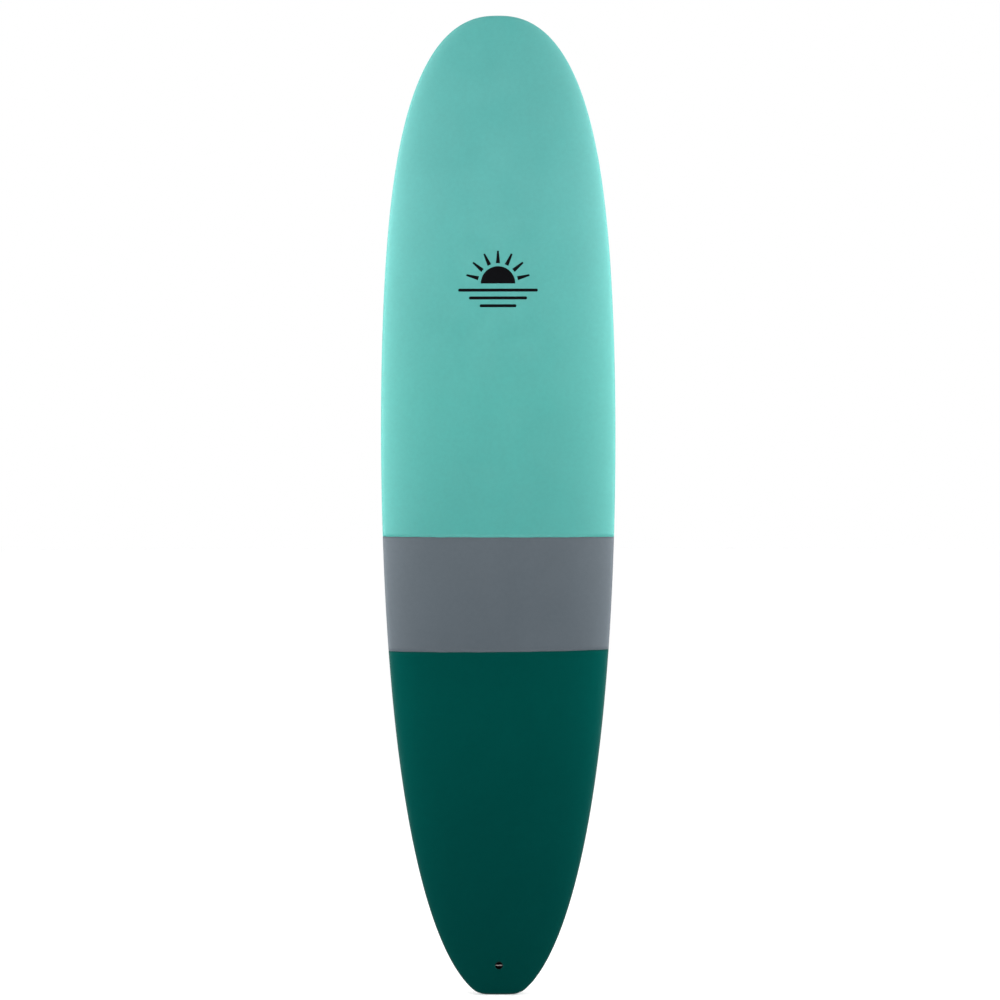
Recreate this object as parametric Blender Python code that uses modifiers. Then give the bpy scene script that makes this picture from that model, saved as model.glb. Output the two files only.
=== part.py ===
"""Longboard surfboard: foam blank with stringer, laminate skins, leash plug and removable fins.

The board stands upright: nose +Z, deck facing -Y, bottom and fins facing +Y, X to the right.
The origin is the centre of the flat end of the tail. All lengths are metres.
"""

import math

import bmesh
import bpy
from mathutils import Matrix, Vector

# ---- hull -------------------------------------------------------------------------------------
LENGTH = 2.438
HALF_WIDTH = 0.2985  # before the nose and tail curves narrow it; the widest half is 0.295
NOSE_START = 0.300  # the nose curve of the outline begins here
NOSE_POWER = 6.24
NOSE_ROUND = 0.4276
TAIL_START = 1.745  # the tail curve of the outline begins here
TAIL_RUN = 1.760
TAIL_POWER = 2.81
TAIL_ROUND = 0.478
TAIL_CORNER = 0.012  # radius that rounds the outline into the flat tail end

MIDDLE = 1.219
THICKNESS = 0.079
TAIL_THICKNESS = 0.019
NOSE_THICKNESS = 0.016
TAIL_THINNING = 2.8
NOSE_THINNING = 3.2
TAIL_ROCKER = 0.066
NOSE_ROCKER = 0.114
TAIL_ROCKER_POWER = 2.5
NOSE_ROCKER_POWER = 2.8
APEX = 0.45  # height of the rail's widest line, as a share of the thickness
DECK_POWER = 2.5
BOTTOM_POWER = 5.0
TAIL_EDGE = 0.006
NOSE_EDGE = 0.008
QUARTER = 9  # spans from the centreline to the rail, on the deck and again on the bottom

SKIN = 0.0020
GAP = 0.0003
LAP = 0.022  # the deck laminate ends this far in from the outline, on the bottom
GREEN_TO_GREY = 0.856
GREY_TO_AQUA = 1.142
STRINGER = 0.004
BEVEL = 0.0003  # softened edges of the small turned and cut pieces
PAST = 0.010  # how far a cutter runs past the surface it opens

# ---- leash plug -------------------------------------------------------------------------------
PLUG_Z = 0.0727
PLUG_RIM_R = 0.0100
PLUG_BORE_R = 0.0088
PLUG_BODY_R = 0.0125
PLUG_DEPTH = 0.0160
PLUG_FLOOR = 0.0020
PLUG_SHOULDER = 0.0024
PLUG_PROUD = 0.0002
PLUG_CHAMFER = 0.0015
BAR_R = 0.0020
BAR_LENGTH = 0.0232
BAR_DEPTH = 0.0054

# ---- centre fin box, in its own frame: Z along the board, Y out of the bottom ------------------
BOX_Z = 0.264
BOX_FLANGE_LENGTH = 0.267
BOX_FLANGE_WIDTH = 0.026
BOX_FLANGE_DEPTH = 0.003
BOX_LENGTH = 0.255
BOX_WIDTH = 0.018
BOX_DEPTH = 0.0225
SLOT_LENGTH = 0.250
SLOT_WIDTH = 0.0088
SLOT_DEPTH = 0.0190
CHANNEL_WIDTH = 0.0136
CHANNEL_TOP = 0.0090
CHANNEL_BOTTOM = 0.0130
WINDOW_LENGTH = 0.014
CHANNEL_END = 0.004  # the channel stops this far short of the slot's ends
FLANGE_PROUD = 0.006  # the flanges are made this much too tall, then trimmed to the hull

# ---- centre fin -------------------------------------------------------------------------------
FIN_SHIFT = -0.008
FIN_BASE = 0.152
FIN_DEPTH = 0.178
FIN_THICK = 0.0074
FIN_TAB_WIDTH = 0.0076
FIN_TAB_DEPTH = 0.0170
TONGUE_LENGTH = 0.016
TONGUE_TOP = 0.0032
TONGUE_BOTTOM = 0.0080
PIN_R = 0.0016
PIN_LENGTH = 0.0128
PIN_Z = -0.068
PLATE_SIZE = 0.0124
PLATE_THICK = 0.0024
SCREW_Z = 0.085
SCREW_R = 0.00205
SCREW_HEAD_R = 0.0037
SCREW_HEAD = 0.0023
SCREW_LENGTH = 0.0150
SCREW_RECESS = (0.0021, 0.0005, 0.0013)  # half length, half width and depth of the cross recess
FIN_FOOT = -0.003  # the blade starts this far below the bottom, inside the tab
SIDE_CUT = 0.35  # half thickness left on the flatter side of a side fin, as a share

# ---- side fins --------------------------------------------------------------------------------
SIDE_Z = 0.3885
SIDE_X = 0.1655
SIDE_TOE = math.radians(1.5)
SIDE_CANT = math.radians(4.0)
SIDE_BOX_LENGTH = 0.117
SIDE_BOX_WIDTH = 0.024
SIDE_BOX_DEPTH = 0.015
SIDE_BASE = 0.104
SIDE_DEPTH = 0.092
SIDE_THICK = 0.0062
SIDE_TAB_LENGTH = 0.022
SIDE_TAB_WIDTH = 0.0050
SIDE_TAB_DEPTH = 0.0125
SIDE_TAB_Z = 0.030
SIDE_FOOT = 0.0007  # the side blades start this far above the bottom
SIDE_TAB_TOP = 0.0013  # and their tabs reach up to here, inside the blade
GRUB_R = 0.00205
GRUB_LENGTH = 0.006
GRUB_SUNK = 0.0008
GRUB_HOLE = 0.0110
GRUB_KEY_R = 0.0010
GRUB_KEY_DEPTH = 0.0032
GRUB_X = 0.0076
GRUB_TILT = math.radians(20.0)

# ---- start from an empty scene ----------------------------------------------------------------
for old in list(bpy.data.objects):
    bpy.data.objects.remove(old, do_unlink=True)

PARTS = bpy.data.collections.new("longboard_surfboard")
CUTTERS = bpy.data.collections.new("cutters")
bpy.context.scene.collection.children.link(PARTS)
bpy.context.scene.collection.children.link(CUTTERS)


# ---- shape of the board -----------------------------------------------------------------------
def edge_cut(distance, radius):
    """Inset of a rounded edge at a distance in from the end."""
    if distance >= radius:
        return 0.0
    return radius - math.sqrt(max(radius**2 - (radius - distance) ** 2, 0.0))


def half_width(z):
    """Half width of the outline at height z above the tail end."""
    nose = min(max((z - NOSE_START) / (LENGTH - NOSE_START), 0.0), 1.0)
    tail = min(max((TAIL_START - z) / TAIL_RUN, 0.0), 1.0)
    full = HALF_WIDTH * (1 - nose**NOSE_POWER) ** NOSE_ROUND * (1 - tail**TAIL_POWER) ** TAIL_ROUND
    return full - edge_cut(z, TAIL_CORNER)


def rocker(z):
    """How far the bottom has risen towards the deck at height z."""
    if z < MIDDLE:
        return TAIL_ROCKER * ((MIDDLE - z) / MIDDLE) ** TAIL_ROCKER_POWER
    return NOSE_ROCKER * ((z - MIDDLE) / (LENGTH - MIDDLE)) ** NOSE_ROCKER_POWER


def thickness(z):
    """Thickness on the centreline at height z."""
    if z < MIDDLE:
        share = ((MIDDLE - z) / MIDDLE) ** TAIL_THINNING
        return THICKNESS - (THICKNESS - TAIL_THICKNESS) * share
    share = min((z - MIDDLE) / (LENGTH - MIDDLE), 1.0) ** NOSE_THINNING
    return THICKNESS - (THICKNESS - NOSE_THICKNESS) * share


ZERO = TAIL_ROCKER + TAIL_THICKNESS / 2  # puts the middle of the tail end at y = 0


def quarter_points(power, spans):
    """Points of a unit superellipse from (0, 1) to (1, 0), crowded towards the rail."""
    steps = 800
    dense = []
    for i in range(steps + 1):
        angle = 0.5 * math.pi * (1 - i / steps)
        dense.append((math.cos(angle) ** (2 / power), math.sin(angle) ** (2 / power)))
    dense[0] = (0.0, 1.0)
    dense[-1] = (1.0, 0.0)
    run = [0.0]
    for a, b in zip(dense, dense[1:]):
        run.append(run[-1] + math.hypot(1.6 * (b[0] - a[0]), b[1] - a[1]))
    points = []
    j = 0
    for k in range(spans + 1):
        while j < steps and run[j] < run[-1] * k / spans:
            j += 1
        points.append(dense[j])
    return points


DECK_QUARTER = quarter_points(DECK_POWER, QUARTER)
BOTTOM_QUARTER = quarter_points(BOTTOM_POWER, QUARTER)


def hull_ring(z, inset):
    """Closed section of the board at height z, shrunk all round by inset."""
    spread = (z - inset) * LENGTH / (LENGTH - 2 * inset)
    wide = half_width(spread) - inset
    tail_cut = edge_cut(z - inset, TAIL_EDGE - inset)
    nose_cut = edge_cut(LENGTH - inset - z, NOSE_EDGE - inset)
    wide -= tail_cut
    low = rocker(z) + inset
    high = rocker(z) + thickness(z) - inset
    apex = low + APEX * (high - low)
    shrink = 1 - 2 * (tail_cut + nose_cut) / (high - low)
    up = (high - apex) * shrink
    down = (apex - low) * shrink
    right = [(wide * x, apex + up * y) for x, y in DECK_QUARTER]
    right += [(wide * x, apex - down * y) for x, y in reversed(BOTTOM_QUARTER[:-1])]
    left = [(-x, h) for x, h in reversed(right[1:-1])]
    return [Vector((x, ZERO - h, z)) for x, h in right + left]


def nose_tip(inset):
    """The point that closes the nose of a shrunk hull."""
    z = LENGTH - inset
    low = rocker(z) + inset
    high = rocker(z) + thickness(z) - inset
    return Vector((0.0, ZERO - low - APEX * (high - low), z))


def ring_heights(start, end, inset):
    """Section heights, closest together where the ends round off."""
    steps = [0.0, 0.0006, 0.002, 0.004, 0.007, 0.011, 0.017, 0.026, 0.040, 0.060, 0.085, 0.120]
    steps += [0.165, 0.220, 0.290, 0.370, 0.460, 0.560, 0.660, 0.760]
    tail = [inset + s for s in steps]
    nose = [LENGTH - inset - s for s in steps[1:]]
    middle = [GREEN_TO_GREY, 0.950, 1.050, GREY_TO_AQUA, 1.240, 1.340, 1.440, 1.560]
    inside = [z for z in tail + middle + nose if start + 0.004 < z < end - 0.004]
    first = [z for z in tail if z <= start + 0.004 and start <= inset]
    last = [z for z in nose if z >= end - 0.004 and end >= LENGTH - inset]
    heights = sorted(set(first + inside + last))
    if start > inset:
        heights.insert(0, start)
    if end < LENGTH - inset:
        heights.append(end)
    return heights


# ---- mesh helpers -----------------------------------------------------------------------------
def finish(name, bm, collection=PARTS):
    """Turn a bmesh into an object with outward faces."""
    bmesh.ops.recalc_face_normals(bm, faces=bm.faces)
    mesh = bpy.data.meshes.new(name)
    bm.to_mesh(mesh)
    bm.free()
    obj = bpy.data.objects.new(name, mesh)
    collection.objects.link(obj)
    if collection is CUTTERS:
        obj.hide_render = True
        obj.display_type = "WIRE"
    return obj


def loft(name, rings, tip=None, collection=PARTS):
    """Skin closed rings of equal count; a tip point closes the last one to a point."""
    bm = bmesh.new()
    grid = [[bm.verts.new(p) for p in ring] for ring in rings]
    count = len(rings[0])
    for a, b in zip(grid, grid[1:]):
        for i in range(count):
            j = (i + 1) % count
            bm.faces.new((a[i], a[j], b[j], b[i]))
    bm.faces.new(grid[0])
    if tip is None:
        bm.faces.new(grid[-1])
    else:
        point = bm.verts.new(tip)
        for i in range(count):
            bm.faces.new((grid[-1][i], grid[-1][(i + 1) % count], point))
    return finish(name, bm, collection)


def hull(name, start, end, inset, collection=PARTS):
    """A length of the board's hull, shrunk by inset."""
    rings = [hull_ring(z, inset) for z in ring_heights(start, end, inset)]
    tip = nose_tip(inset) if end >= LENGTH - inset else None
    return loft(name, rings, tip, collection)


def block(name, low, high, collection=PARTS, bevel=0.0):
    """A box between two corners, its mesh centred on the object's origin."""
    low, high = Vector(low), Vector(high)
    bm = bmesh.new()
    bmesh.ops.create_cube(bm, size=1.0)
    size = high - low
    for v in bm.verts:
        v.co = Vector((v.co.x * size.x, v.co.y * size.y, v.co.z * size.z))
    obj = finish(name, bm, collection)
    obj.location = (low + high) / 2
    if bevel:
        mod = obj.modifiers.new("soft_edges", "BEVEL")
        mod.width = bevel
        mod.segments = 2
    return obj


def stadium(name, length, width, low, high, collection=PARTS):
    """A round-ended bar along Z, from y = low to y = high."""
    radius = width / 2
    reach = length / 2 - radius
    bm = bmesh.new()
    outline = []
    for end in (1, -1):
        for k in range(17):
            angle = math.pi * k / 16
            x = end * radius * math.cos(angle)
            outline.append(bm.verts.new((x, low, end * (reach + radius * math.sin(angle)))))
    face = bm.faces.new(outline)
    grown = bmesh.ops.extrude_face_region(bm, geom=[face])["geom"]
    moved = [v for v in grown if isinstance(v, bmesh.types.BMVert)]
    bmesh.ops.translate(bm, verts=moved, vec=(0.0, high - low, 0.0))
    return finish(name, bm, collection)


def cylinder(name, radius, start, end, collection=PARTS, sides=32, bevel=0.0):
    """A round bar between two points; the object's origin is its start, its Z runs along it."""
    start, end = Vector(start), Vector(end)
    length = (end - start).length
    bm = bmesh.new()
    shift = Matrix.Translation((0, 0, length / 2))
    bmesh.ops.create_cone(
        bm, cap_ends=True, segments=sides, radius1=radius, radius2=radius, depth=length, matrix=shift
    )
    obj = finish(name, bm, collection)
    obj.rotation_mode = "QUATERNION"
    obj.rotation_quaternion = (end - start).to_track_quat("Z", "Y")
    obj.location = start
    if bevel:
        mod = obj.modifiers.new("soft_edges", "BEVEL")
        mod.width = bevel
        mod.segments = 2
        mod.limit_method = "ANGLE"
    return obj


def turned(name, profile, collection=PARTS, steps=40):
    """A body of revolution about its own Z, from a profile of (radius, z) run top to bottom."""
    bm = bmesh.new()
    verts = [bm.verts.new((r, 0.0, z)) for r, z in profile]
    for a, b in zip(verts, verts[1:]):
        bm.edges.new((a, b))
    mesh = bpy.data.meshes.new(name)
    bm.to_mesh(mesh)
    bm.free()
    obj = bpy.data.objects.new(name, mesh)
    collection.objects.link(obj)
    mod = obj.modifiers.new("turn", "SCREW")
    mod.axis = "Z"
    mod.steps = steps
    mod.render_steps = steps
    mod.use_merge_vertices = True
    mod.merge_threshold = 0.00002
    return obj


def boolean(obj, tool, operation="DIFFERENCE"):
    """Apply a live exact Boolean with a tool object."""
    mod = obj.modifiers.new(tool.name, "BOOLEAN")
    mod.operation = operation
    mod.object = tool
    mod.solver = "EXACT"


def paint(obj, color, roughness, metallic=0.0):
    """Give the object its own plain material."""
    mat = bpy.data.materials.new(obj.name)
    mat.use_nodes = True
    shader = mat.node_tree.nodes["Principled BSDF"]
    shader.inputs["Base Color"].default_value = (*color, 1.0)
    shader.inputs["Roughness"].default_value = roughness
    shader.inputs["Metallic"].default_value = metallic
    obj.data.materials.clear()
    obj.data.materials.append(mat)


def frame(name, location, rotation=(0.0, 0.0, 0.0), parent=None):
    """An empty that carries pieces; its rotations apply about X last."""
    empty = bpy.data.objects.new(name, None)
    CUTTERS.objects.link(empty)
    empty.location = location
    empty.rotation_mode = "ZYX"
    empty.rotation_euler = rotation
    empty.parent = parent
    return empty


def held(obj, parent):
    """Parent a piece to a frame without changing its local numbers."""
    obj.parent = parent
    return obj


# ---- hull solids that cut the pieces ----------------------------------------------------------
outside = hull("hull_outside", 0.0, LENGTH, 0.0, CUTTERS)
skin_void = hull("skin_void", 0.0, LENGTH, SKIN, CUTTERS)


def lap_solid(name, inset, collection):
    """Solid standing on the bottom inside the lap line, from mid thickness outwards."""
    reach = LENGTH - 2 * inset
    heights = []
    shares = [0.0, 0.004, 0.010, 0.020, 0.035, 0.055, 0.08, 0.11, 0.15, 0.20, 0.26, 0.33, 0.40, 0.47]
    shares += [0.54, 0.61, 0.68, 0.74, 0.80, 0.85, 0.89, 0.92, 0.945, 0.965, 0.98, 0.99, 0.996, 0.9992]
    for share in shares:
        heights.append(inset + reach * share)
    rings = []
    for z in heights:
        wide = half_width((z - inset) * LENGTH / reach) - inset
        inner = ZERO - rocker(z) - 0.5 * thickness(z)
        outer = ZERO - rocker(z) + 0.015
        corners = [(-wide, inner), (wide, inner), (wide, outer), (-wide, outer)]
        rings.append([Vector((x, y, z)) for x, y in corners])
    return loft(name, rings, None, collection)


bottom_field = lap_solid("bottom_field", LAP, CUTTERS)

# ---- laminate skins ---------------------------------------------------------------------------
deck_skin_tail = hull("deck_skin_tail", 0.0, GREEN_TO_GREY - GAP / 2, 0.0)
deck_skin_band = hull("deck_skin_band", GREEN_TO_GREY + GAP / 2, GREY_TO_AQUA - GAP / 2, 0.0)
deck_skin_nose = hull("deck_skin_nose", GREY_TO_AQUA + GAP / 2, LENGTH, 0.0)
for panel in (deck_skin_tail, deck_skin_band, deck_skin_nose):
    boolean(panel, skin_void)
    boolean(panel, bottom_field)

bottom_skin = lap_solid("bottom_skin", LAP + GAP, PARTS)
boolean(bottom_skin, outside, "INTERSECT")
boolean(bottom_skin, skin_void)

# ---- blank: two foam halves and the stringer ---------------------------------------------------
foam_core_left = hull("foam_core_left", 0.0, LENGTH, SKIN + GAP)
foam_core_right = hull("foam_core_right", 0.0, LENGTH, SKIN + GAP)
stringer = hull("stringer", 0.0, LENGTH, SKIN + GAP)
inner_edge = STRINGER / 2 + GAP
left_half = block("left_half", (-0.40, -0.2, -0.1), (-inner_edge, 0.2, 2.6), CUTTERS)
right_half = block("right_half", (inner_edge, -0.2, -0.1), (0.40, 0.2, 2.6), CUTTERS)
centre_strip = block("centre_strip", (-STRINGER / 2, -0.2, -0.1), (STRINGER / 2, 0.2, 2.6), CUTTERS)
boolean(foam_core_left, left_half, "INTERSECT")
boolean(foam_core_right, right_half, "INTERSECT")
boolean(stringer, centre_strip, "INTERSECT")

# ---- leash plug -------------------------------------------------------------------------------
plug_frame = frame(
    "plug_frame",
    (0.0, ZERO - rocker(PLUG_Z) - thickness(PLUG_Z), PLUG_Z),
    (math.pi / 2, 0.0, 0.0),
)
leash_plug_cup = turned(
    "leash_plug_cup",
    [
        (0.0, PLUG_FLOOR - PLUG_DEPTH),
        (PLUG_BORE_R, PLUG_FLOOR - PLUG_DEPTH),
        (PLUG_BORE_R, PLUG_PROUD),
        (PLUG_RIM_R, PLUG_PROUD),
        (PLUG_RIM_R, -PLUG_SHOULDER),
        (PLUG_BODY_R, -PLUG_SHOULDER),
        (PLUG_BODY_R, PLUG_CHAMFER - PLUG_DEPTH),
        (PLUG_BODY_R - PLUG_CHAMFER, -PLUG_DEPTH),
        (0.0, -PLUG_DEPTH),
    ],
)
held(leash_plug_cup, plug_frame)
reach = BAR_LENGTH / 2
leash_plug_bar = cylinder(
    "leash_plug_bar", BAR_R, (-reach, 0.0, -BAR_DEPTH), (reach, 0.0, -BAR_DEPTH), bevel=BEVEL
)
held(leash_plug_bar, plug_frame)
bar_hole = cylinder(
    "bar_hole", BAR_R + GAP, (-2 * PAST, 0.0, -BAR_DEPTH), (2 * PAST, 0.0, -BAR_DEPTH), CUTTERS
)
held(bar_hole, plug_frame)
boolean(leash_plug_cup, bar_hole)

plug_neck = cylinder("plug_neck", PLUG_RIM_R + GAP, (0, 0, -2 * SKIN), (0, 0, PAST), CUTTERS, 48)
held(plug_neck, plug_frame)
boolean(deck_skin_tail, plug_neck)
plug_pocket = cylinder(
    "plug_pocket", PLUG_BODY_R + GAP, (0, 0, -PLUG_DEPTH - GAP), (0, 0, PAST), CUTTERS, 48
)
held(plug_pocket, plug_frame)

# ---- centre fin box ---------------------------------------------------------------------------
def bottom_slope(z):
    """Angle of the bottom to the Z axis at height z."""
    return math.atan((rocker(z - 0.05) - rocker(z + 0.05)) / 0.1)


box_frame = frame(
    "box_frame", (0.0, ZERO - rocker(BOX_Z), BOX_Z), (-bottom_slope(BOX_Z), 0.0, 0.0)
)
centre_fin_box = stadium(
    "centre_fin_box", BOX_FLANGE_LENGTH, BOX_FLANGE_WIDTH, -BOX_FLANGE_DEPTH, FLANGE_PROUD
)
box_body = stadium("box_body", BOX_LENGTH, BOX_WIDTH, -BOX_DEPTH, -BOX_FLANGE_DEPTH / 2, CUTTERS)
box_slot = block(
    "box_slot",
    (-SLOT_WIDTH / 2, -SLOT_DEPTH, -SLOT_LENGTH / 2),
    (SLOT_WIDTH / 2, PAST, SLOT_LENGTH / 2),
    CUTTERS,
)
box_channel = block(
    "box_channel",
    (-CHANNEL_WIDTH / 2, -CHANNEL_BOTTOM, -SLOT_LENGTH / 2 + CHANNEL_END),
    (CHANNEL_WIDTH / 2, -CHANNEL_TOP, SLOT_LENGTH / 2 - CHANNEL_END),
    CUTTERS,
)
box_window = block(
    "box_window",
    (-CHANNEL_WIDTH / 2 - 0.0002, -CHANNEL_BOTTOM + 0.0006, -WINDOW_LENGTH / 2),
    (CHANNEL_WIDTH / 2 + 0.0002, PAST, WINDOW_LENGTH / 2),
    CUTTERS,
)
for piece in (centre_fin_box, box_body, box_slot, box_channel, box_window):
    held(piece, box_frame)
boolean(centre_fin_box, box_body, "UNION")
boolean(centre_fin_box, outside, "INTERSECT")
boolean(centre_fin_box, box_slot)
boolean(centre_fin_box, box_channel)
boolean(centre_fin_box, box_window)

flange_pocket = stadium(
    "flange_pocket",
    BOX_FLANGE_LENGTH + 2 * GAP,
    BOX_FLANGE_WIDTH + 2 * GAP,
    -BOX_FLANGE_DEPTH - GAP,
    PAST,
    CUTTERS,
)
body_pocket = stadium(
    "body_pocket",
    BOX_LENGTH + 2 * GAP,
    BOX_WIDTH + 2 * GAP,
    -BOX_DEPTH - GAP,
    PAST,
    CUTTERS,
)
held(flange_pocket, box_frame)
held(body_pocket, box_frame)
boolean(bottom_skin, flange_pocket)


# ---- fins -------------------------------------------------------------------------------------
def foil_half(u, thick):
    """Half thickness of a rounded-nose foil at share u of its chord."""
    shape = 1.4845 * math.sqrt(u) - 0.63 * u - 1.758 * u**2 + 1.4215 * u**3 - 0.5075 * u**4
    return thick * shape + 0.00035


def fin_rings(base, depth, thick, foot, flat):
    """Foil sections of a raked fin; flat leaves one side nearly plane (+1 or -1), 0 neither."""
    shares = [1.0, 0.93, 0.85, 0.75, 0.63, 0.5, 0.38, 0.27, 0.18, 0.11, 0.06, 0.025, 0.006, 0.0]
    heights = [0.0, 0.08, 0.17, 0.27, 0.37, 0.47, 0.57, 0.66, 0.74, 0.81, 0.87, 0.92, 0.955, 0.98]
    heights += [0.994, 0.9995]
    rings = []
    for s in heights:
        lead = base * (0.5 - 0.99 * s**1.75 - 0.08 * s)
        chord = base * (1 - 0.62 * s**0.9) * math.sqrt(max(1 - s**7, 0.0))
        here = thick * (1 - 0.55 * s) * min(1.0, 0.35 + chord / (0.3 * base))
        y = foot + (depth - foot) * s
        one = []
        other = []
        for u in shares:
            half = foil_half(u, here)
            sides = [half, half]
            if flat > 0:
                sides = [SIDE_CUT * half, (2 - SIDE_CUT) * half]
            elif flat < 0:
                sides = [(2 - SIDE_CUT) * half, SIDE_CUT * half]
            one.append(Vector((sides[0], y, lead - chord * u)))
            other.append(Vector((-sides[1], y, lead - chord * u)))
        rings.append(one + list(reversed(other)))
    return rings


fin_frame = frame("fin_frame", (0.0, 0.0, FIN_SHIFT), parent=box_frame)
centre_fin = loft("centre_fin", fin_rings(FIN_BASE, FIN_DEPTH, FIN_THICK, FIN_FOOT, 0))
fin_tab = block(
    "fin_tab",
    (-FIN_TAB_WIDTH / 2, -FIN_TAB_DEPTH, -FIN_BASE / 2),
    (FIN_TAB_WIDTH / 2, -0.001, FIN_BASE / 2 - 0.001),
    CUTTERS,
)
fin_tongue = block(
    "fin_tongue",
    (-FIN_TAB_WIDTH / 2 + 0.0001, -TONGUE_BOTTOM, FIN_BASE / 2 - 0.006),
    (FIN_TAB_WIDTH / 2 - 0.0001, -TONGUE_TOP, FIN_BASE / 2 + TONGUE_LENGTH),
    CUTTERS,
)
pin_y = -(CHANNEL_TOP + CHANNEL_BOTTOM) / 2
pin_hole = cylinder(
    "pin_hole", PIN_R + GAP, (-PAST, pin_y, PIN_Z), (PAST, pin_y, PIN_Z), CUTTERS
)
screw_hole = cylinder(
    "screw_hole", SCREW_R + GAP, (0, -2 * PAST, SCREW_Z), (0, PAST, SCREW_Z), CUTTERS
)
for piece in (centre_fin, fin_tab, fin_tongue, pin_hole, screw_hole):
    held(piece, fin_frame)
boolean(centre_fin, fin_tab, "UNION")
boolean(centre_fin, fin_tongue, "UNION")
boolean(centre_fin, pin_hole)
boolean(centre_fin, screw_hole)

half_pin = PIN_LENGTH / 2
centre_fin_pin = cylinder(
    "centre_fin_pin", PIN_R, (-half_pin, pin_y, PIN_Z), (half_pin, pin_y, PIN_Z), bevel=BEVEL
)
held(centre_fin_pin, fin_frame)
plate_top = -CHANNEL_TOP - 0.0004
half_plate = PLATE_SIZE / 2
centre_fin_plate = block(
    "centre_fin_plate",
    (-half_plate, plate_top - PLATE_THICK, SCREW_Z - half_plate),
    (half_plate, plate_top, SCREW_Z + half_plate),
    bevel=BEVEL,
)
held(centre_fin_plate, fin_frame)
boolean(centre_fin_plate, screw_hole)


def slotted(screw, parent):
    """Cut a cross recess into the head of a turned screw, whose top is at its z = 0."""
    long, wide, depth = SCREW_RECESS
    for i, size in enumerate(((long, wide), (wide, long))):
        tool = block(
            f"{screw.name}_recess_{i}",
            (-size[0], -size[1], -depth - 0.0001 * i),
            (size[0], size[1], 0.001),
            CUTTERS,
        )
        held(tool, parent)
        boolean(screw, tool)


head_top = -TONGUE_TOP + GAP + SCREW_HEAD
screw_frame = frame(
    "screw_frame", (0.0, head_top, SCREW_Z), (-math.pi / 2, 0.0, 0.0), parent=fin_frame
)
centre_fin_screw = turned(
    "centre_fin_screw",
    [
        (0.0, 0.0),
        (SCREW_HEAD_R - 0.0010, -0.0001),
        (SCREW_HEAD_R, -0.0008),
        (SCREW_HEAD_R, -SCREW_HEAD),
        (SCREW_R, -SCREW_HEAD),
        (SCREW_R, 0.0006 - SCREW_HEAD - SCREW_LENGTH),
        (SCREW_R - 0.0006, -SCREW_HEAD - SCREW_LENGTH),
        (0.0, -SCREW_HEAD - SCREW_LENGTH),
    ],
    steps=32,
)
held(centre_fin_screw, screw_frame)
slotted(centre_fin_screw, screw_frame)

# ---- pockets in the blank for the parts on the centreline --------------------------------------
for piece in (foam_core_left, foam_core_right, stringer):
    boolean(piece, plug_pocket)
    boolean(piece, flange_pocket)
    boolean(piece, body_pocket)


# ---- side fins --------------------------------------------------------------------------------
def bottom_lift(x, z):
    """Rise of the bottom towards the rail at x, and its sideways slope angle."""
    share = x / half_width(z)
    curve = (1 - share**BOTTOM_POWER) ** (1 / BOTTOM_POWER)
    height = APEX * thickness(z)
    steep = share ** (BOTTOM_POWER - 1) * (1 - share**BOTTOM_POWER) ** (1 / BOTTOM_POWER - 1)
    return height * (1 - curve), math.atan(height / half_width(z) * steep)


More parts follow.
